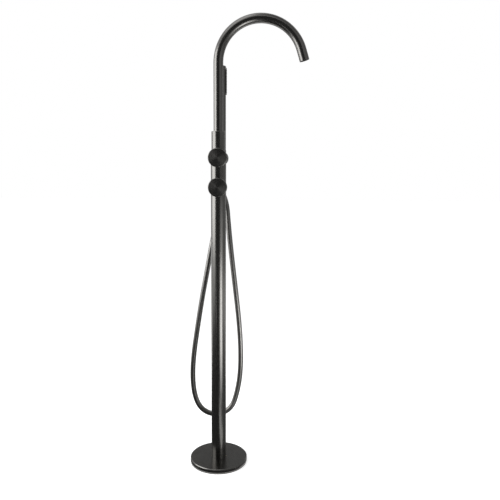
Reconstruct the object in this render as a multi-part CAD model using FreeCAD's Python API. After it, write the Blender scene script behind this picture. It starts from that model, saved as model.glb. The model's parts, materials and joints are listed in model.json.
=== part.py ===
import FreeCAD, Part
import math
import os

# Floor standing bath filler. Millimetres, +Z up.
# Origin: on the floor, on the column's axis. The spout points along +X, the
# knobs face -Y, the handset and its hose are behind the column, towards +Y.

V = FreeCAD.Vector
X, Y, Z = V(1, 0, 0), V(0, 1, 0), V(0, 0, 1)

# ---- driving dimensions ----------------------------------------------------

# clearances
running_fit = 0.1        # radial, a turning shaft in its bore
loose_fit = 0.3          # radial, parts that move past each other
push_fit = 0.2           # radial, fixed parts that slide together
edge_break = 0.5         # on turned edges

# mounting foot and floor cover
foot_plate_d = 128.0
foot_plate_t = 6.0
foot_hole_d = 7.0
foot_hole_pcd = 100.0
foot_hole_count = 4
foot_spigot_h = 50.0     # above the plate
inlet_bore_d = 15.2
inlet_depth = 14.0
inlet_offset = 9.0       # each side of the axis
waterway_d = 8.0
cover_d = 157.0
cover_h = 13.0
cover_wall = 2.0
cover_bevel = 1.6

# column
column_d = 40.0
column_wall = 1.8
tube_above_mixer = 19.0  # from the upper control's axis to the tube's top
sleeve_h = 48.0          # of the spout's base sleeve, above the tube
sleeve_seat_h = 2.0      # depth of the sleeve in the tube
sleeve_lip_h = 14.0      # solid top that guides the spout
sleeve_skirt_t = 2.6
grub_d = 6.0
grub_len = 6.0
grub_z = 36.0
grub_angles = (60.0, 120.0)

# supply pipes
pipe_d = 10.0
pipe_wall = 1.0
pipe_socket_depth = 12.0

# valve body and the two controls
mixer_z = 837.0
control_pitch = 75.0     # from one control down to the other
body_below = 34.0        # under the lower control
neck_d = 30.0
neck_inner_y = 8.0       # distance from the axis of the neck's inner end
neck_outer_y = 26.0
cartridge_d = 24.0
cartridge_back_y = 4.0   # behind the axis
cartridge_front_y = 22.0
bonnet_flange_d = 28.0
bonnet_flange_t = 2.0
bonnet_bore_d = 12.0
spindle_d = 8.0
spindle_depth = 10.0     # inside the cartridge
spindle_chamfer = 0.6

# knobs
knob_d = 48.5
knob_front_y = 43.0
knob_depth = 19.0
knob_wall = 3.0
knob_front_wall = 4.0
knob_edge = 1.2
hub_d = 20.0
hub_depth = 10.0
insert_d = 12.0
insert_floor = 2.0       # of the insert, in front of the spindle
knob_grub_d = 4.0

# spout
spout_d = 25.0
spout_wall = 1.5
arch_r = 107.3
arch_centre_z = 1075.8
arch_sweep = 163.0       # degrees
spout_end_len = 27.5
collar_d = 29.0
collar_t = 4.0
washer_t = 2.0
tail_d = 20.0
tail_len = 18.0
tail_bore_d = 14.0
tail_plug_len = 12.0
tail_floor_gap = 1.0     # under the tail, in the valve body
tip_break = 1.0          # on the tips that lead into a bore
o_ring_section = 2.4
o_ring_pitch = 7.0
aerator_len = 10.0
aerator_wall = 1.5
aerator_recess = 1.0
straightener_t = 5.0
straightener_hole_d = 2.4
straightener_inner_r = 3.7
straightener_inner_count = 6
straightener_outer_r = 7.2
straightener_outer_count = 12

# handset holder
handset_y = 88.0         # handset axis behind the column's axis
barrel_d = 40.0
barrel_len = 41.0
barrel_edge = 2.0
arm_d = 20.0
arm_spigot_d = 10.0
arm_spigot_len = 3.5
holder_stud_d = 8.0
holder_stud_in = 10.0    # depth in the valve body
holder_stud_out = 12.0   # depth in the arm
liner_d = 33.0
slot_margin = 2.5        # slot width over the hose's diameter

# handset
handset_d = 27.5
handset_wall = 1.5
handset_len = 264.5      # without the nut
cap_t = 3.0
cap_plug_len = 6.0
cap_edge = 1.0
dock_top_d = 29.2
dock_bottom_d = 27.4
dock_len = 41.0
end_plug_len = 12.0
nipple_d = 20.0
nipple_len = 12.0
nipple_bore_d = 12.0
spray_len = 71.0
spray_top_gap = 4.5      # below the handset's top
spray_w = 14.5
spray_proud = 2.1        # of the spray face, in front of the tube
spray_t = 4.4
spray_edge = 0.8
mat_t = 1.6
nozzle_d = 2.2
nozzle_clear = 0.2       # radial, nozzle in the face plate
nozzle_proud = 0.4
nozzle_rows = 9
nozzle_pitch_z = 7.0
nozzle_pitch_y = 4.2

# hose and its fittings
hose_d = 14.5
cone_nut_len = 27.0
cone_nut_tip_d = 17.5
cone_nut_straight = 8.0
hose_washer_t = 2.0
nut_passage_d = 9.0
outlet_y = 44.0
elbow_d = 19.0
elbow_ball_d = 22.0
elbow_drop = 24.0        # from the elbow's axis to its lower end
outlet_stud_d = 15.0
outlet_stud_in = 10.0    # depth in the valve body
outlet_nut_af = 24.0     # across flats
outlet_nut_chamfer = 1.2
outlet_nut_h = 15.0
outlet_nut_floor = 3.0   # under the washer

# Hose route, from the outlet nut, down the left, round the bottom and up to
# the nut under the handset.
hose_points = [
    (0.0, 44.0, 733.0),
    (0.0, 44.0, 710.0),
    (-6.0, 45.5, 672.0),
    (-20.5, 47.5, 612.0),
    (-34.5, 50.0, 534.0),
    (-50.0, 52.5, 452.0),
    (-63.0, 55.0, 370.0),
    (-75.0, 57.5, 290.0),
    (-79.5, 60.0, 221.0),
    (-74.5, 61.5, 165.5),
    (-59.5, 63.0, 126.5),
    (-30.5, 64.0, 106.0),
    (5.0, 65.5, 106.5),
    (33.5, 66.5, 127.5),
    (46.5, 68.0, 165.5),
    (56.5, 69.5, 221.0),
    (58.2, 71.5, 290.0),
    (53.7, 74.0, 368.0),
    (44.7, 76.5, 449.0),
    (34.8, 79.0, 530.0),
    (26.3, 82.0, 608.0),
    (20.5, 84.5, 668.0),
    (15.5, 86.5, 716.0),
    (0.0, 88.0, 766.0),
    (0.0, 88.0, 790.0),
]
hose_arc_share = 0.45    # of the shorter run beside each turn

# ---- derived places --------------------------------------------------------

column_r = column_d / 2
column_bore_d = column_d - 2 * column_wall
foot_spigot_d = column_bore_d - 2 * push_fit
foot_top_z = foot_plate_t + foot_spigot_h
body_d = column_bore_d - 2 * push_fit
diverter_z = mixer_z - control_pitch
tube_top_z = mixer_z + tube_above_mixer
column_top_z = tube_top_z + sleeve_h
body_bottom_z = diverter_z - body_below
sleeve_bottom_z = tube_top_z - sleeve_seat_h
sleeve_skirt_bore_d = body_d - 2 * sleeve_skirt_t
sleeve_lip_z = column_top_z - sleeve_lip_h
collar_top_z = sleeve_lip_z - loose_fit
collar_bottom_z = collar_top_z - collar_t
washer_top_z = collar_bottom_z - loose_fit
body_top_z = washer_top_z - washer_t
spout_bore_d = spout_d - 2 * spout_wall
knob_back_y = knob_front_y - knob_depth
knob_ceiling_y = knob_front_y - knob_front_wall
hub_end_y = knob_ceiling_y - hub_depth
cartridge_bore_d = cartridge_d + 2 * push_fit
barrel_start_y = handset_y - barrel_len / 2
slot_w = hose_d + slot_margin
handset_bore_d = handset_d - 2 * handset_wall
handset_r = handset_d / 2
dock_bottom_z = mixer_z - barrel_d / 2
dock_top_z = dock_bottom_z + dock_len
handset_top_z = dock_bottom_z + handset_len
spray_face_x = handset_r + spray_proud
spray_back_x = spray_face_x - spray_t
spray_mid_z = handset_top_z - spray_top_gap - spray_len / 2
elbow_end_z = diverter_z - elbow_drop
outlet_nut_bottom_z = elbow_end_z - hose_washer_t - outlet_nut_floor
cone_nut_bottom_z = dock_bottom_z - cone_nut_len
outlet_nut_top_z = outlet_nut_bottom_z + outlet_nut_h

# ---- helpers ---------------------------------------------------------------


def rod(d, start, end):
    """Cylinder of diameter d between two points."""
    axis = end - start
    return Part.makeCylinder(d / 2, axis.Length, start, axis)


def post(d, z0, z1, x=0.0, y=0.0):
    return rod(d, V(x, y, z0), V(x, y, z1))


def bar_y(d, y0, y1, x=0.0, z=0.0):
    return rod(d, V(x, y0, z), V(x, y1, z))


def turned(profile, base, axis, side):
    """Revolve a closed profile of (radius, height) points about an axis."""
    points = [base + side * r + axis * h for r, h in profile]
    face = Part.Face(Part.makePolygon(points + points[:1]))
    return face.revolve(base, axis, 360)


def turned_z(profile, x=0.0, y=0.0):
    return turned(profile, V(x, y, 0), Z, X)


def turned_front(profile, z):
    """Profile of (radius, distance in front of the column's axis)."""
    return turned(profile, V(0, 0, z), V(0, -1, 0), X)


def prism_x(face_edges, x0, x1):
    """Extrude a closed outline in the plane x = x0 up to x1."""
    return Part.Face(Part.Wire(face_edges)).extrude(X * (x1 - x0))


def stadium_edges(x, width, length, z_mid):
    """Upright slot outline in the plane at x."""
    r, h = width / 2, length / 2 - width / 2
    top, low = z_mid + h, z_mid - h
    return [
        Part.LineSegment(V(x, -r, low), V(x, -r, top)).toShape(),
        Part.Arc(V(x, -r, top), V(x, 0, top + r), V(x, r, top)).toShape(),
        Part.LineSegment(V(x, r, top), V(x, r, low)).toShape(),
        Part.Arc(V(x, r, low), V(x, 0, low - r), V(x, -r, low)).toShape(),
    ]


def edges_where(shape, test):
    """Edges whose every vertex passes the test."""
    return [e for e in shape.Edges if all(test(v.Point) for v in e.Vertexes)]


def fused(first, *others):
    return first.fuse(list(others)).removeSplitter()


def save(name, *shapes):
    shape = shapes[0] if len(shapes) == 1 else Part.makeCompound(list(shapes))
    shape.exportStep("parts/" + name + ".step")


# ---- floor: mounting foot and cover ----------------------------------------


def mounting_foot():
    cuts = [post(foot_spigot_d, 0, foot_plate_t)]
    for i in range(foot_hole_count):
        a = math.radians(45 + 360 / foot_hole_count * i)
        x, y = foot_hole_pcd / 2 * math.cos(a), foot_hole_pcd / 2 * math.sin(a)
        cuts.append(post(foot_hole_d, 0, foot_plate_t, x, y))
    return post(foot_plate_d, 0, foot_plate_t).cut(cuts)


def foot_spigot():
    """Screwed into the foot; joins the inlets to the supply pipes."""
    cuts = []
    for side in (-1, 1):
        x = side * inlet_offset
        cuts.append(post(inlet_bore_d, 0, inlet_depth, x))
        cuts.append(post(waterway_d, 0, foot_top_z, x))
        cuts.append(post(pipe_d, foot_top_z - pipe_socket_depth, foot_top_z, x))
    return post(foot_spigot_d, 0, foot_top_z).cut(cuts + column_grubs())


def grub_ends(angle):
    a = math.radians(angle)
    out = V(math.cos(a), math.sin(a), 0)
    outer = column_r - push_fit
    return out * (outer - grub_len) + Z * grub_z, out * outer + Z * grub_z


def column_grubs():
    return [rod(grub_d, *grub_ends(angle)) for angle in grub_angles]


def floor_cover_plate():
    r, b = cover_d / 2, cover_bevel
    hole_r = column_r + loose_fit
    inner_r, inner_h = r - cover_wall, cover_h - cover_wall
    return turned_z([
        (hole_r, inner_h), (inner_r, inner_h), (inner_r, 0), (r, 0),
        (r, cover_h - b), (r - b, cover_h), (hole_r, cover_h),
    ])


# ---- column ----------------------------------------------------------------


def column_tube():
    bore_r, e = column_bore_d / 2, edge_break
    tube = turned_z([
        (bore_r, foot_plate_t), (column_r, foot_plate_t),
        (column_r, tube_top_z - e), (column_r - e, tube_top_z),
        (bore_r, tube_top_z),
    ])
    cuts = [bar_y(neck_d, -column_d, 0, z=z) for z in (mixer_z, diverter_z)]
    cuts.append(bar_y(holder_stud_d, 0, column_d, z=mixer_z))
    cuts.append(bar_y(outlet_stud_d, 0, column_d, z=diverter_z))
    for angle in grub_angles:
        start, end = grub_ends(angle)
        cuts.append(rod(grub_d, start, end + (end - start)))
    return tube.cut(cuts)


def spout_base_sleeve():
    """Closes the column round the spout, and holds the spout's collar down."""
    r, e = body_d / 2, edge_break
    guide_r, skirt_r = spout_d / 2 + loose_fit, sleeve_skirt_bore_d / 2
    return turned_z([
        (guide_r, sleeve_lip_z), (skirt_r, sleeve_lip_z),
        (skirt_r, sleeve_bottom_z), (r, sleeve_bottom_z),
        (r, column_top_z - e), (r - e, column_top_z), (guide_r, column_top_z),
    ])


def supply_pipe(side):
    x = side * inlet_offset
    z0, z1 = foot_top_z - pipe_socket_depth, body_bottom_z + pipe_socket_depth
    return post(pipe_d, z0, z1, x).cut(post(pipe_d - 2 * pipe_wall, z0, z1, x))


# ---- valve -----------------------------------------------------------------


def valve_body():
    body = fused(post(body_d, body_bottom_z, sleeve_bottom_z),
                 post(sleeve_skirt_bore_d - 2 * push_fit, sleeve_bottom_z,
                      body_top_z))
    cuts = []
    for z in (mixer_z, diverter_z):
        cuts.append(bar_y(neck_d, -body_d, -neck_inner_y, z=z))
        cuts.append(bar_y(cartridge_bore_d, -body_d, cartridge_back_y, z=z))
    for side in (-1, 1):
        cuts.append(post(pipe_d, body_bottom_z,
                         body_bottom_z + pipe_socket_depth,
                         side * inlet_offset))
    tail_bottom_z = collar_bottom_z - tail_len
    cuts.append(post(tail_d + 2 * running_fit, tail_bottom_z - tail_floor_gap,
                     body_top_z))
    stud_y = column_r - holder_stud_in
    cuts.append(bar_y(holder_stud_d, stud_y, body_d, z=mixer_z))
    port_y = column_r - outlet_stud_in
    cuts.append(bar_y(outlet_stud_d, port_y, body_d, z=diverter_z))
    cuts.append(bar_y(waterway_d, 0, port_y, z=diverter_z))
    return body.cut(cuts)


def neck_sleeve(z):
    return bar_y(neck_d, -neck_outer_y, -neck_inner_y, z=z).cut(
        bar_y(cartridge_bore_d, -neck_outer_y, -neck_inner_y, z=z))


def cartridge(z):
    body = bar_y(cartridge_d, -cartridge_front_y, cartridge_back_y, z=z)
    depth = cartridge_front_y - spindle_depth
    return body.cut(bar_y(spindle_d + 2 * running_fit,
                          -cartridge_front_y, -depth, z=z))


def bonnet_nut(z):
    bore_r, thread_r = bonnet_bore_d / 2, cartridge_bore_d / 2
    return turned_front([
        (bore_r, cartridge_front_y), (thread_r, cartridge_front_y),
        (thread_r, neck_outer_y), (bonnet_flange_d / 2, neck_outer_y),
        (bonnet_flange_d / 2, neck_outer_y + bonnet_flange_t),
        (bore_r, neck_outer_y + bonnet_flange_t),
    ], z)


def spindle(z):
    start = cartridge_front_y - spindle_depth + loose_fit
    end = knob_ceiling_y - insert_floor
    rod_y = bar_y(spindle_d, -end, -start, z=z)
    tip = edges_where(rod_y, lambda p: p.y < edge_break - end)
    return rod_y.makeChamfer(spindle_chamfer, tip)


def knob_insert(z):
    return bar_y(insert_d, -knob_ceiling_y, -hub_end_y, z=z).cut(
        bar_y(spindle_d, insert_floor - knob_ceiling_y, -hub_end_y, z=z))


def knob_grub_bar(z, length):
    """Bar below the control's axis, through the middle of the knob's hub."""
    y = hub_depth / 2 - knob_ceiling_y
    return rod(knob_grub_d, V(0, y, z - insert_d / 2 - length),
               V(0, y, z - insert_d / 2))


def knob_grub(z):
    return knob_grub_bar(z, (hub_d - insert_d) / 2)


def knob(z):
    r, e = knob_d / 2, knob_edge
    inner_r, hub_r, bore_r = r - knob_wall, hub_d / 2, insert_d / 2
    shell = turned_front([
        (0, knob_front_y), (r - e, knob_front_y), (r, knob_front_y - e),
        (r, knob_back_y + e / 2), (r - e / 2, knob_back_y),
        (inner_r, knob_back_y), (inner_r, knob_ceiling_y),
        (hub_r, knob_ceiling_y), (hub_r, hub_end_y), (bore_r, hub_end_y),
        (bore_r, knob_ceiling_y), (0, knob_ceiling_y),
    ], z)
    return shell.cut(knob_grub_bar(z, knob_d))


# ---- spout -----------------------------------------------------------------


def arch_direction():
    a = math.radians(arch_sweep)
    return V(math.sin(a), 0, math.cos(a))


def arch_point(degrees):
    """Point on the arch's centreline, this far round from the leg."""
    a = math.radians(degrees)
    return V(arch_r - arch_r * math.cos(a), 0,
             arch_centre_z + arch_r * math.sin(a))


def outlet_point(inside):
    """Point on the outlet's axis, this far inside its end face."""
    return arch_point(arch_sweep) + arch_direction() * (spout_end_len - inside)


def spout_path():
    """Leg, arch and straight end, as one smooth line."""
    foot, top, end = V(0, 0, collar_top_z), arch_point(0), arch_point(arch_sweep)
    return Part.Wire([
        Part.LineSegment(foot, top).toShape(),
        Part.Arc(top, arch_point(arch_sweep / 2), end).toShape(),
        Part.LineSegment(end, outlet_point(0)).toShape(),
    ])


def spout_bar(d):
    section = Part.Wire(Part.makeCircle(d / 2, V(0, 0, collar_top_z), Z))
    return spout_path().makePipeShell([section], True, False)


def spout_tube():
    return spout_bar(spout_d).cut(spout_bar(spout_bore_d))


def o_ring_heights():
    mid = collar_bottom_z - tail_len / 2
    return (mid - o_ring_pitch / 2, mid + o_ring_pitch / 2)


def spout_tail_fitting():
    low = collar_bottom_z - tail_len
    bore_r = tail_bore_d / 2
    fitting = turned_z([
        (bore_r, low), (tail_d / 2 - tip_break, low),
        (tail_d / 2, low + tip_break),
        (tail_d / 2, collar_bottom_z), (collar_d / 2, collar_bottom_z),
        (collar_d / 2, collar_top_z), (spout_bore_d / 2, collar_top_z),
        (spout_bore_d / 2, collar_top_z + tail_plug_len),
        (bore_r, collar_top_z + tail_plug_len),
    ])
    grooves = []
    for z in o_ring_heights():
        h = o_ring_section / 2 + push_fit
        grooves.append(post(tail_d, z - h, z + h).cut(
            post(tail_d - 2 * o_ring_section, z - h, z + h)))
    return fitting.cut(grooves)


def spout_o_rings():
    r = o_ring_section / 2
    return [Part.makeTorus(tail_d / 2 - r, r, V(0, 0, z), Z)
            for z in o_ring_heights()]


def spout_slide_washer():
    bore = post(tail_d + 2 * running_fit, body_top_z, washer_top_z)
    return post(collar_d, body_top_z, washer_top_z).cut(bore)


def aerator_housing():
    outer = rod(spout_bore_d, outlet_point(aerator_recess + aerator_len),
                outlet_point(aerator_recess))
    return outer.cut(rod(spout_bore_d - 2 * aerator_wall,
                         outlet_point(aerator_recess + aerator_len),
                         outlet_point(aerator_recess)))


def flow_straightener():
    inside = aerator_recess + aerator_wall
    top, low = outlet_point(inside + straightener_t), outlet_point(inside)
    disc = rod(spout_bore_d - 2 * aerator_wall, top, low)
    side = arch_direction().cross(Y)
    holes = []
    for count, ring_r, lag in (
            (1, 0.0, 0.0), (straightener_inner_count, straightener_inner_r, 0.0),
            (straightener_outer_count, straightener_outer_r, 0.5)):
        for i in range(count):
            a = 2 * math.pi * (i + lag) / count
            step = (side * math.cos(a) + Y * math.sin(a)) * ring_r
            holes.append(rod(straightener_hole_d, top + step, low + step))
    return disc.cut(holes)


# ---- handset holder --------------------------------------------------------


def holder_stud():
    return bar_y(holder_stud_d, column_r - holder_stud_in,
                 column_r + holder_stud_out, z=mixer_z)


def holder_arm():
    arm = fused(bar_y(arm_d, column_r / 2, barrel_start_y, z=mixer_z),
                bar_y(arm_spigot_d, barrel_start_y,
                      barrel_start_y + arm_spigot_len, z=mixer_z))
    saddle = post(column_d, mixer_z - arm_d, mixer_z + arm_d)
    return arm.cut([saddle, holder_stud()])


def dock_cone(gap):
    """The handset's tapered seat, grown radially by a gap."""
    return Part.makeCone(dock_bottom_d / 2 + gap, dock_top_d / 2 + gap, dock_len,
                         V(0, handset_y, dock_bottom_z), Z)


def barrel_bar():
    bar = bar_y(barrel_d, barrel_start_y, barrel_start_y + barrel_len, z=mixer_z)
    ends = edges_where(bar, lambda p: abs(p.y - handset_y) > barrel_len / 2 - edge_break)
    rims = [e for e in ends if isinstance(e.Curve, Part.Circle)]
    return bar.makeFillet(barrel_edge, rims)


def hose_slot():
    return Part.makeBox(slot_w, barrel_len, 2 * barrel_d,
                        V(-slot_w / 2, handset_y, mixer_z - barrel_d))


def holder_barrel():
    z0, z1 = mixer_z - barrel_d, mixer_z + barrel_d
    socket = bar_y(arm_spigot_d, barrel_start_y,
                   barrel_start_y + arm_spigot_len, z=mixer_z)
    return barrel_bar().cut([post(liner_d, z0, z1, y=handset_y), hose_slot(),
                             socket])


def holder_liner():
    z0, z1 = mixer_z - barrel_d, mixer_z + barrel_d
    ring = post(liner_d, z0, z1, y=handset_y).common(barrel_bar())
    gap = loose_fit
    bore = post(dock_top_d + 2 * gap, dock_top_z, z1, y=handset_y)
    relief = post(dock_bottom_d + 2 * gap, z0, dock_bottom_z, y=handset_y)
    return ring.cut([dock_cone(gap), bore, relief, hose_slot()])


# ---- hose outlet -----------------------------------------------------------


def hose_outlet_elbow():
    corner = V(0, outlet_y, diverter_z)
    leg = bar_y(elbow_d, column_r / 2, outlet_y, z=diverter_z).cut(
        post(column_d, diverter_z - elbow_d, diverter_z + elbow_d))
    stud = bar_y(outlet_stud_d, column_r - outlet_stud_in, outlet_y, z=diverter_z)
    ball = Part.makeSphere(elbow_ball_d / 2, corner)
    drop = post(elbow_d, outlet_nut_top_z, diverter_z, y=outlet_y)
    thread = post(nipple_d, elbow_end_z, outlet_nut_top_z, y=outlet_y)
    solid = fused(leg, stud, ball, drop, thread)
    bore = bar_y(waterway_d, column_r - outlet_stud_in, outlet_y, z=diverter_z)
    down = post(waterway_d, elbow_end_z, diverter_z, y=outlet_y)
    return solid.cut([bore, down])


def hexagon_nut(across_flats, z0, z1, y):
    """Both ends are turned down to a cone, as on a bar-stock nut."""
    r = across_flats / math.sqrt(3)
    corners = [V(r * math.cos(math.radians(60 * i)),
                 y + r * math.sin(math.radians(60 * i)), z0) for i in range(6)]
    prism = Part.Face(Part.makePolygon(corners + corners[:1])).extrude(Z * (z1 - z0))
    r_in, rise = across_flats / 2, outlet_nut_chamfer
    cone = turned_z([(0, z0), (r_in, z0), (r, z0 + rise), (r, z1 - rise),
                     (r_in, z1), (0, z1)], y=y)
    return prism.common(cone)


def hose_outlet_nut():
    nut = hexagon_nut(outlet_nut_af, outlet_nut_bottom_z, outlet_nut_top_z, outlet_y)
    floor_z = outlet_nut_bottom_z + outlet_nut_floor
    return nut.cut([
        post(nipple_d, floor_z, outlet_nut_top_z, y=outlet_y),
        post(nut_passage_d, outlet_nut_bottom_z, floor_z, y=outlet_y),
    ])


def washer(z_low, y):
    return post(nipple_d, z_low, z_low + hose_washer_t, y=y).cut(
        post(waterway_d, z_low, z_low + hose_washer_t, y=y))


def hose_cone_nut():
    top, low = dock_bottom_z, cone_nut_bottom_z
    r, tip_r, bore_r = dock_bottom_d / 2, cone_nut_tip_d / 2, nipple_d / 2
    seat_z = dock_bottom_z - nipple_len - hose_washer_t
    return turned_z([
        (bore_r, top), (r, top), (r, top - cone_nut_straight),
        (tip_r, low + tip_break), (tip_r - tip_break, low),
        (nut_passage_d / 2, low),
        (nut_passage_d / 2, seat_z), (bore_r, seat_z),
    ], y=handset_y)


# ---- handset ---------------------------------------------------------------


def handset_tube():
    top = handset_top_z - cap_t
    tube = post(handset_d, dock_top_z, top, y=handset_y).cut(
        post(handset_bore_d, dock_top_z, top, y=handset_y))
    return tube.cut(spray_block(0.0))


def spray_block(gap):
    """Room for the spray face through the tube's wall."""
    block = prism_x(stadium_edges(0, spray_w + 2 * gap, spray_len + 2 * gap,
                                  spray_mid_z), 0, spray_face_x)
    return block.translated(V(0, handset_y, 0))


def handset_top_cap():
    low = handset_top_z - cap_t
    r, bore_r, e = handset_r, handset_bore_d / 2, cap_edge
    return turned_z([
        (0, low - cap_plug_len), (bore_r, low - cap_plug_len), (bore_r, low),
        (r, low), (r, handset_top_z - e), (r - e, handset_top_z),
        (0, handset_top_z),
    ], y=handset_y).cut(spray_block(0.0))


def handset_end_fitting():
    cone = dock_cone(0.0)
    plug = post(handset_bore_d, dock_top_z, dock_top_z + end_plug_len, y=handset_y)
    nipple = post(nipple_d, dock_bottom_z - nipple_len, dock_bottom_z, y=handset_y)
    body = fused(cone, plug, nipple)
    return body.cut(post(nipple_bore_d, dock_bottom_z - nipple_len,
                         dock_top_z + end_plug_len, y=handset_y))


def handset_core():
    low = dock_top_z + end_plug_len
    top = handset_top_z - cap_t - cap_plug_len
    core = post(handset_bore_d - 2 * push_fit, low, top, y=handset_y)
    seat = prism_x(stadium_edges(spray_back_x - mat_t, spray_w, spray_len,
                                 spray_mid_z), spray_back_x - mat_t, spray_face_x)
    feed = prism_x(stadium_edges(0, nozzle_pitch_y, spray_len - spray_w,
                                 spray_mid_z), 0, spray_face_x)
    move = V(0, handset_y, 0)
    channel = post(waterway_d, low, spray_mid_z, y=handset_y)
    return core.cut([seat.translated(move), feed.translated(move), channel])


def nozzle_places():
    """Three staggered columns of nozzles, as (y, z) on the spray face."""
    places = []
    for column in (-1, 0, 1):
        rows = nozzle_rows if column else nozzle_rows - 1
        for row in range(rows):
            z = spray_mid_z + (row - (rows - 1) / 2) * nozzle_pitch_z
            places.append((handset_y + column * nozzle_pitch_y, z))
    return places


def nozzle_bars(d, x0, x1):
    return [rod(d, V(x0, y, z), V(x1, y, z)) for y, z in nozzle_places()]


def spray_face_plate():
    plate = prism_x(stadium_edges(spray_back_x, spray_w, spray_len, spray_mid_z),
                    spray_back_x, spray_face_x)
    rim = edges_where(plate, lambda p: p.x > spray_face_x - edge_break)
    plate = plate.makeFillet(spray_edge, rim).translated(V(0, handset_y, 0))
    return plate.cut(nozzle_bars(nozzle_d + 2 * nozzle_clear, 0,
                                 spray_face_x + nozzle_proud))


def nozzle_mat():
    back = spray_back_x - mat_t
    mat = prism_x(stadium_edges(back, spray_w, spray_len, spray_mid_z),
                  back, spray_back_x).translated(V(0, handset_y, 0))
    return fused(mat, *nozzle_bars(nozzle_d, back, spray_face_x + nozzle_proud))


# ---- hose ------------------------------------------------------------------


def hose_path(points):
    """Straight runs joined by tangent arcs, with the arcs' radii."""
    points = [V(*p) for p in points]
    edges, radii, last = [], [], points[0]
    for before, corner, after in zip(points, points[1:], points[2:]):
        u, w = before - corner, after - corner
        run = min(u.Length, w.Length)
        u.normalize()
        w.normalize()
        half_turn = (math.pi - u.getAngle(w)) / 2
        back = hose_arc_share * run
        radius = back / math.tan(half_turn)
        start, end = corner + u * back, corner + w * back
        sagitta = radius / math.cos(half_turn) - radius
        middle = corner + (u + w).normalize() * sagitta
        edges.append(Part.LineSegment(last, start).toShape())
        edges.append(Part.Arc(start, middle, end).toShape())
        radii.append(radius)
        last = end
    edges.append(Part.LineSegment(last, points[-1]).toShape())
    return Part.Wire(edges), radii


def shower_hose():
    path, radii = hose_path(hose_points)
    start = V(*hose_points[0])
    heading = V(*hose_points[1]) - start
    section = Part.Wire(Part.makeCircle(hose_d / 2, start, heading))
    hose = path.makePipeShell([section], True, False)
    expected = math.pi * hose_d ** 2 / 4 * path.Length
    print("hose length", round(path.Length, 1),
          "volume ratio", round(hose.Volume / expected, 4))
    print("hose radii", [round(r) for r in radii])
    return hose


# ---- build -----------------------------------------------------------------

os.makedirs("parts", exist_ok=True)

save("mounting_foot", mounting_foot())
save("foot_spigot", foot_spigot())
save("floor_cover_plate", floor_cover_plate())
save("column_grub_screws", *column_grubs())
save("column_tube", column_tube())
save("spout_base_sleeve", spout_base_sleeve())
save("hot_supply_pipe", supply_pipe(-1))
save("cold_supply_pipe", supply_pipe(1))
save("valve_body", valve_body())

for name, z in (("mixer", mixer_z), ("diverter", diverter_z)):
    save(name + "_neck_sleeve", neck_sleeve(z))
    save(name + "_cartridge", cartridge(z))
    save(name + "_bonnet_nut", bonnet_nut(z))
    save(name + "_spindle", spindle(z))
    save(name + "_knob", knob(z))
    save(name + "_knob_insert", knob_insert(z))
    save(name + "_knob_grub_screw", knob_grub(z))

save("spout_slide_washer", spout_slide_washer())
save("spout_tube", spout_tube())
save("spout_tail_fitting", spout_tail_fitting())
save("spout_o_rings", *spout_o_rings())
save("aerator_housing", aerator_housing())
save("flow_straightener", flow_straightener())

save("holder_stud", holder_stud())
save("holder_arm", holder_arm())
save("holder_barrel", holder_barrel())
save("holder_liner", holder_liner())

save("hose_outlet_elbow", hose_outlet_elbow())
save("hose_outlet_nut", hose_outlet_nut())
save("outlet_washer", washer(elbow_end_z - hose_washer_t, outlet_y))
save("shower_hose", shower_hose())

save("hose_cone_nut", hose_cone_nut())
save("handset_washer",
     washer(dock_bottom_z - nipple_len - hose_washer_t, handset_y))
save("handset_end_fitting", handset_end_fitting())
save("handset_tube", handset_tube())
save("handset_top_cap", handset_top_cap())
save("handset_core", handset_core())
save("nozzle_mat", nozzle_mat())
save("spray_face_plate", spray_face_plate())
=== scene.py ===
import json
import math

import bpy
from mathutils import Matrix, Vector


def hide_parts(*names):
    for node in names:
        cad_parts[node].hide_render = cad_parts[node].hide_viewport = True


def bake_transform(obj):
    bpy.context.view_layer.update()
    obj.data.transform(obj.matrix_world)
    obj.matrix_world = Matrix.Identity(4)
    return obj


# Floor standing bath filler. Metres; the spout points along +X and the knobs face -Y.

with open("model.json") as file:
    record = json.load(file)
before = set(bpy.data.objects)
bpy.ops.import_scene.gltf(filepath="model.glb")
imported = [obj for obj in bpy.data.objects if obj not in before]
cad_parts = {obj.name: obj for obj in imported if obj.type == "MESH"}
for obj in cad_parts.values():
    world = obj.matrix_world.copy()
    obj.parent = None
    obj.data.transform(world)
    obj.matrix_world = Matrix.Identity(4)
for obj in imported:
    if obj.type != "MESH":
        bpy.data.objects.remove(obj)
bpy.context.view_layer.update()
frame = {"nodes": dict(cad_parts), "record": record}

# ---- camera ----------------------------------------------------------------

CAMERA_PLACE = (0.1125, -1.4958, 0.8181)
# Degrees about X, Y and Z, from looking straight down.
CAMERA_TURN = (81.554, -0.397, 1.17)
CAMERA_LENS_MM = 41.03
CAMERA_SENSOR_MM = 36.0


def add_camera():
    data = bpy.data.cameras.new("camera")
    data.lens = CAMERA_LENS_MM
    data.sensor_width = CAMERA_SENSOR_MM
    camera = bpy.data.objects.new("camera", data)
    camera.location = CAMERA_PLACE
    camera.rotation_euler = [math.radians(angle) for angle in CAMERA_TURN]
    bpy.context.collection.objects.link(camera)
    bpy.context.scene.camera = camera


# ---- hose ------------------------------------------------------------------

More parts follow.
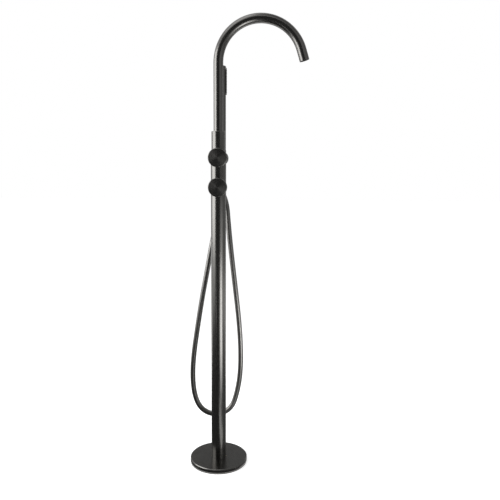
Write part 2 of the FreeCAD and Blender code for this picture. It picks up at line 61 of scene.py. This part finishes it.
HOSE_DIAMETER = 0.0145
HOSE_POINTS = [
    (0.0, 0.044, 0.733),
    (0.0, 0.044, 0.71),
    (-0.006, 0.0455, 0.672),
    (-0.0205, 0.0475, 0.612),
    (-0.0345, 0.05, 0.534),
    (-0.05, 0.0525, 0.452),
    (-0.063, 0.055, 0.37),
    (-0.075, 0.0575, 0.29),
    (-0.0795, 0.06, 0.221),
    (-0.0745, 0.0615, 0.1655),
    (-0.0595, 0.063, 0.1265),
    (-0.0305, 0.064, 0.106),
    (0.005, 0.0655, 0.1065),
    (0.0335, 0.0665, 0.1275),
    (0.0465, 0.068, 0.1655),
    (0.0565, 0.0695, 0.221),
    (0.0582, 0.0715, 0.29),
    (0.0537, 0.074, 0.368),
    (0.0447, 0.0765, 0.449),
    (0.0348, 0.079, 0.53),
    (0.0258, 0.082, 0.608),
    (0.0201, 0.0846, 0.668),
    (0.0164, 0.0866, 0.712),
    (0.0035, 0.088, 0.745),
    (0.0, 0.088, 0.766),
    (0.0, 0.088, 0.79),
]
HOSE_STEPS_PER_POINT = 12
HOSE_BEVEL_RESOLUTION = 7


def add_hose():
    """Tube from the outlet nut to the nut under the handset, and the points in its middle.

    Both follow one NURBS spline.
    """
    curve = bpy.data.curves.new("hose_route", "CURVE")
    curve.dimensions = "3D"
    spline = curve.splines.new("NURBS")
    spline.points.add(len(HOSE_POINTS) - 1)
    for point, place in zip(spline.points, HOSE_POINTS):
        point.co = (*place, 1.0)
    spline.order_u = 3
    spline.use_endpoint_u = True
    spline.resolution_u = HOSE_STEPS_PER_POINT
    route = bpy.data.objects.new("hose_route", curve)
    line = bpy.data.meshes.new_from_object(route)
    path = [tuple(vertex.co) for vertex in line.vertices]
    curve.bevel_depth = HOSE_DIAMETER / 2
    curve.bevel_resolution = HOSE_BEVEL_RESOLUTION
    curve.use_fill_caps = True
    hose = bpy.data.objects.new("hose", bpy.data.meshes.new_from_object(route))
    bpy.context.collection.objects.link(hose)
    bpy.data.objects.remove(route)
    bpy.data.meshes.remove(line)
    return hose, path


# ---- node trees ------------------------------------------------------------

NOISE_ROUGHNESS = 0.6
# Nearly all values of the noise lie between these two.
NOISE_LOW = 0.3
NOISE_HIGH = 0.7


class Nodes:
    """Short calls for adding to one node tree."""

    def __init__(self, tree):
        self.tree = tree

    def add(self, kind, inputs=(), **settings):
        """New node, with values or links for its inputs, and its other settings."""
        node = self.tree.nodes.new("ShaderNode" + kind)
        for name, value in settings.items():
            setattr(node, name, value)
        for name, value in dict(inputs).items():
            self.feed(node.inputs[name], value)
        return node

    def feed(self, socket, value):
        """Sets a socket, or links it where the value is another node's output."""
        if isinstance(value, bpy.types.NodeSocket):
            self.tree.links.new(value, socket)
        else:
            socket.default_value = value


class Look(Nodes):
    """One material: its principled shader and what feeds that."""

    def __init__(self, name):
        self.material = bpy.data.materials.new(name)
        self.material.use_nodes = True
        super().__init__(self.material.node_tree)
        self.shader = self.tree.nodes["Principled BSDF"]

    def shade(self, **inputs):
        """Feeds the shader's inputs, named with underscores for spaces."""
        for name, value in inputs.items():
            self.feed(self.shader.inputs[name.replace("_", " ")], value)

    def noise(self, waves, detail=3.0):
        """Noise over the piece, with this many waves per metre along X, Y and Z."""
        position = self.add("TexCoord").outputs["Object"]
        scaled = self.add("Mapping", {"Vector": position, "Scale": waves})
        noise = self.add("TexNoise", {"Vector": scaled.outputs["Vector"], "Scale": 1.0,
                                      "Detail": detail, "Roughness": NOISE_ROUGHNESS})
        return noise.outputs["Fac"]

    def vary(self, noise, middle, reach):
        """A number that wanders with the noise, this far to either side of its middle."""
        node = self.add("MapRange", {"Value": noise,
                                     "From Min": NOISE_LOW, "From Max": NOISE_HIGH,
                                     "To Min": middle - reach, "To Max": middle + reach})
        return node.outputs["Result"]

    def mix(self, noise, dark, light):
        """A colour that wanders with the noise from dark to light."""
        node = self.add("Mix", data_type="RGBA")
        self.feed(node.inputs["Factor"], noise)
        self.feed(node.inputs["A"], (*dark, 1.0))
        self.feed(node.inputs["B"], (*light, 1.0))
        return node.outputs["Result"]

    def bump(self, height, distance):
        node = self.add("Bump", {"Height": height, "Distance": distance})
        return node.outputs["Normal"]


# ---- materials -------------------------------------------------------------

# Waves of noise per metre along X, Y and Z.
RINGS_ABOUT_Z = (30.0, 30.0, 2600.0)
RINGS_ABOUT_Y = (30.0, 2600.0, 30.0)
CLOUDS = (22.0, 22.0, 22.0)
SMALL_CLOUDS = (60.0, 60.0, 60.0)
MOULD_GRAIN = (2500.0, 2500.0, 2500.0)

# Depths of the bumps.
BRUSHED_DEPTH = 0.000003
SPUN_DEPTH = 0.000001
MOULD_DEPTH = 0.00001

# Each finish's darkest and lightest colour.
GUNMETAL = ((0.125, 0.122, 0.116), (0.15, 0.147, 0.141))
SOFT_GUNMETAL = ((0.155, 0.152, 0.145), (0.185, 0.181, 0.173))
BRASS = ((0.62, 0.45, 0.2), (0.72, 0.55, 0.28))
COPPER = ((0.7, 0.4, 0.27), (0.8, 0.5, 0.35))
STEEL = ((0.45, 0.45, 0.45), (0.55, 0.55, 0.55))
PLASTIC = ((0.03, 0.03, 0.03), (0.0375, 0.0375, 0.0375))
RUBBER = ((0.02, 0.02, 0.02), (0.025, 0.025, 0.025))

# Nodes whose look isn't the one named after their material slot. The plate of the spray
# face has the softer shine of the hose.
OTHER_LOOKS = {
    "mixer_knob": "spun",
    "diverter_knob": "spun",
    "mixer_neck_sleeve": "level",
    "diverter_neck_sleeve": "level",
    "holder_arm": "level",
    "holder_barrel": "level",
    "spray_face_plate": "hose",
}


def brushed_gunmetal(name, rings, colours=GUNMETAL, roughness=0.24):
    """Satin plated metal, with a fine brushed grain and faint cloudy wear."""
    look = Look(name)
    grain = look.noise(rings, detail=4.0)
    look.shade(Base_Color=look.mix(look.noise(CLOUDS), *colours),
               Metallic=1.0,
               Roughness=look.vary(grain, roughness, reach=0.03),
               Normal=look.bump(grain, BRUSHED_DEPTH))
    return look.material


def spun_gunmetal(name):
    """Gunmetal faced on a lathe about the Y axis: its shine fans out from the centre."""
    look = Look(name)
    clouds = look.noise(CLOUDS)
    centred = look.add("Mapping", {"Vector": look.add("TexCoord").outputs["Generated"],
                                   "Location": (-0.5, -0.5, -0.5)})
    rings = look.add("TexWave", {"Vector": centred.outputs["Vector"], "Scale": 30.0,
                                 "Distortion": 0.3, "Detail": 2.0},
                     wave_type="RINGS", rings_direction="Y")
    turning = look.add("Tangent", direction_type="RADIAL", axis="Y")
    look.shade(Base_Color=look.mix(clouds, *GUNMETAL),
               Metallic=1.0,
               Roughness=look.vary(clouds, middle=0.31, reach=0.03),
               Anisotropic=0.85,
               Anisotropic_Rotation=0.25,
               Tangent=turning.outputs["Tangent"],
               Normal=look.bump(rings.outputs["Fac"], SPUN_DEPTH))
    return look.material


def bare_metal(name, colours, roughness):
    """Plain metal of the pieces inside."""
    look = Look(name)
    clouds = look.noise(SMALL_CLOUDS)
    look.shade(Base_Color=look.mix(clouds, *colours),
               Metallic=1.0,
               Roughness=look.vary(clouds, roughness, reach=0.05))
    return look.material


def moulded(name, colours, roughness):
    """Plastic or rubber with the fine grain of its mould."""
    look = Look(name)
    grain = look.noise(MOULD_GRAIN)
    look.shade(Base_Color=look.mix(grain, *colours),
               Roughness=look.vary(grain, roughness, reach=0.06),
               Normal=look.bump(grain, MOULD_DEPTH))
    return look.material


def make_looks():
    """A material for each of the model's slots, and gunmetal in two other finishes."""
    return {
        "gunmetal": brushed_gunmetal("gunmetal_upright", RINGS_ABOUT_Z),
        "level": brushed_gunmetal("gunmetal_level", RINGS_ABOUT_Y),
        "spun": spun_gunmetal("gunmetal_spun"),
        "hose": brushed_gunmetal("gunmetal_soft", RINGS_ABOUT_Z, SOFT_GUNMETAL,
                                 roughness=0.32),
        "brass": bare_metal("brass", BRASS, roughness=0.3),
        "copper": bare_metal("copper", COPPER, roughness=0.3),
        "steel": bare_metal("steel", STEEL, roughness=0.35),
        "plastic": moulded("plastic", PLASTIC, roughness=0.5),
        "rubber": moulded("rubber", RUBBER, roughness=0.6),
    }


def dress(looks):
    """Gives every node of the frame its look."""
    for part in frame["record"]["subparts"]:
        name = OTHER_LOOKS.get(part["node"], part["material_slot"])
        materials = frame["nodes"][part["node"]].data.materials
        materials.clear()
        materials.append(looks[name])


# ---- studio ----------------------------------------------------------------

WHITE = (1.0, 1.0, 1.0, 1.0)
BLACK = (0.0, 0.0, 0.0, 1.0)
# How strongly the white world lights things, where 1 is the white that is seen.
WORLD_LIGHT = 0.7
FLOOR_SIZE = 24.0
FLOOR_COLOUR = (0.9, 0.9, 0.9, 1.0)
# Glow that brings the lit floor up to white, where it is seen.
FLOOR_GLOW = 0.42
FLOOR_CARD_HEIGHT = 0.004
# For a floor card that lies over the edges of others.
UPPER_CARD_HEIGHT = 0.006


def seen_directly(nodes):
    """1 for rays that look at a thing directly, by reflection or through glass."""
    rays = nodes.add("LightPath").outputs
    seen = rays["Is Camera Ray"]
    for name in ("Is Glossy Ray", "Is Transmission Ray"):
        either = nodes.add("Math", {0: seen, 1: rays[name]}, operation="MAXIMUM")
        seen = either.outputs[0]
    return seen


def around(distance, azimuth, height):
    """Point this far from the column's axis, at an angle to the right of its front."""
    angle = math.radians(azimuth)
    return Vector((distance * math.sin(angle), -distance * math.cos(angle), height))


def turned_to(place, look_at, front):
    """Rotation that points an object's front axis from its place to a point."""
    return (Vector(look_at) - Vector(place)).to_track_quat(front, "Y").to_euler()


def add_world():
    """White where it is seen, and a little dimmer where it lights things."""
    world = bpy.data.worlds.new("studio")
    world.use_nodes = True
    nodes = Nodes(world.node_tree)
    strength = nodes.add("MapRange", {"Value": seen_directly(nodes),
                                      "To Min": WORLD_LIGHT, "To Max": 1.0})
    background = nodes.tree.nodes["Background"]
    nodes.feed(background.inputs["Color"], WHITE)
    nodes.feed(background.inputs["Strength"], strength.outputs["Result"])
    bpy.context.scene.world = world


def add_panel(name, width, height, place, look_at):
    """Rectangle at a place, facing a point."""
    mesh = bpy.data.meshes.new(name)
    x, y = width / 2, height / 2
    mesh.from_pydata([(-x, -y, 0), (x, -y, 0), (x, y, 0), (-x, y, 0)], [], [(0, 1, 2, 3)])
    panel = bpy.data.objects.new(name, mesh)
    panel.location = place
    panel.rotation_euler = turned_to(place, look_at, front="Z")
    bpy.context.collection.objects.link(panel)
    return panel


def add_floor():
    floor = add_panel("floor", FLOOR_SIZE, FLOOR_SIZE, place=(0, 0, 0), look_at=(0, 0, 1))
    look = Look("floor")
    glow = look.add("Math", {0: seen_directly(look), 1: FLOOR_GLOW}, operation="MULTIPLY")
    look.shade(Base_Color=FLOOR_COLOUR, Roughness=0.9, Specular_IOR_Level=0.0,
               Emission_Color=WHITE, Emission_Strength=glow.outputs[0])
    floor.data.materials.append(look.material)


def add_card(name, width, height, place, look_at, level):
    """Studio card of an even grey. Only reflections see it."""
    card = add_panel(name, width, height, place, look_at)
    look = Look(name)
    look.shade(Base_Color=BLACK, Roughness=1.0, Specular_IOR_Level=0.0,
               Emission_Color=WHITE, Emission_Strength=level)
    card.data.materials.append(look.material)
    card.visible_camera = False
    card.visible_diffuse = False
    card.visible_shadow = False


def add_upright_card(name, distance, azimuth, width, bottom, top, level):
    """Card that stands round the column and faces it."""
    middle = (bottom + top) / 2
    add_card(name, width, top - bottom, around(distance, azimuth, middle),
             (0, 0, middle), level)


def add_floor_card(name, distance, azimuth, width, depth, level, height=FLOOR_CARD_HEIGHT):
    """Card that lies just over the floor and faces up."""
    place = around(distance, azimuth, height)
    add_card(name, width, depth, place, place + Vector((0, 0, 1)), level)


def add_softbox(name, width, height, place, look_at, brightness):
    """Rectangular lamp with a face of even brightness. The camera doesn't see it."""
    data = bpy.data.lights.new(name, "AREA")
    data.shape = "RECTANGLE"
    data.size = width
    data.size_y = height
    data.energy = brightness * math.pi * width * height
    lamp = bpy.data.objects.new(name, data)
    lamp.location = place
    lamp.rotation_euler = turned_to(place, look_at, front="-Z")
    lamp.visible_camera = False
    bpy.context.collection.objects.link(lamp)


def add_studio():
    add_world()
    add_floor()
    add_softbox("key_left", width=1.5, height=1.35, place=(-1.36, -0.34, 1.08),
                look_at=(0, 0, 1.08), brightness=3.6)
    add_softbox("low_right", width=0.5, height=0.4,
                place=around(distance=0.9, azimuth=44, height=0.18),
                look_at=(0, 0, 0.4), brightness=4.5)
    add_softbox("overhead", width=1.4, height=1.4, place=(-0.5, -0.4, 2.6),
                look_at=(0, 0, 1.0), brightness=1.0)
    add_upright_card("front_card", distance=1.8, azimuth=-7,
                     width=3.0, bottom=0.0, top=2.6, level=0.08)
    add_upright_card("right_low_card", distance=1.2, azimuth=52,
                     width=1.1, bottom=0.62, top=0.95, level=0.22)
    add_upright_card("right_top_card", distance=1.2, azimuth=52,
                     width=1.1, bottom=0.95, top=2.0, level=0.5)
    add_upright_card("far_right_card", distance=1.2, azimuth=103,
                     width=1.5, bottom=0.3, top=2.0, level=0.4)
    add_upright_card("back_card", distance=1.5, azimuth=180,
                     width=2.0, bottom=0.4, top=1.4, level=0.25)
    add_card("top_card", width=1.6, height=1.6, place=(0.8, -0.3, 2.3),
             look_at=(0.2, 0, 1.1), level=0.35)
    add_floor_card("left_floor_card", distance=0.87, azimuth=-58,
                   width=1.6, depth=1.7, level=0.08)
    add_floor_card("front_floor_card", distance=1.15, azimuth=-7,
                   width=0.9, depth=1.5, level=0.08)
    add_floor_card("right_floor_card", distance=0.75, azimuth=95,
                   width=1.1, depth=0.8, level=0.2)
    add_floor_card("right_near_card", distance=0.3, azimuth=117,
                   width=0.7, depth=0.4, level=0.2, height=UPPER_CARD_HEIGHT)


# ---- scene -----------------------------------------------------------------

add_camera()
hose, hose_path = add_hose()
looks = make_looks()
dress(looks)
hose.data.materials.append(looks["hose"])
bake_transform(hose)
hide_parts("shower_hose")
add_studio()
bpy.context.scene.view_settings.view_transform = "Standard"
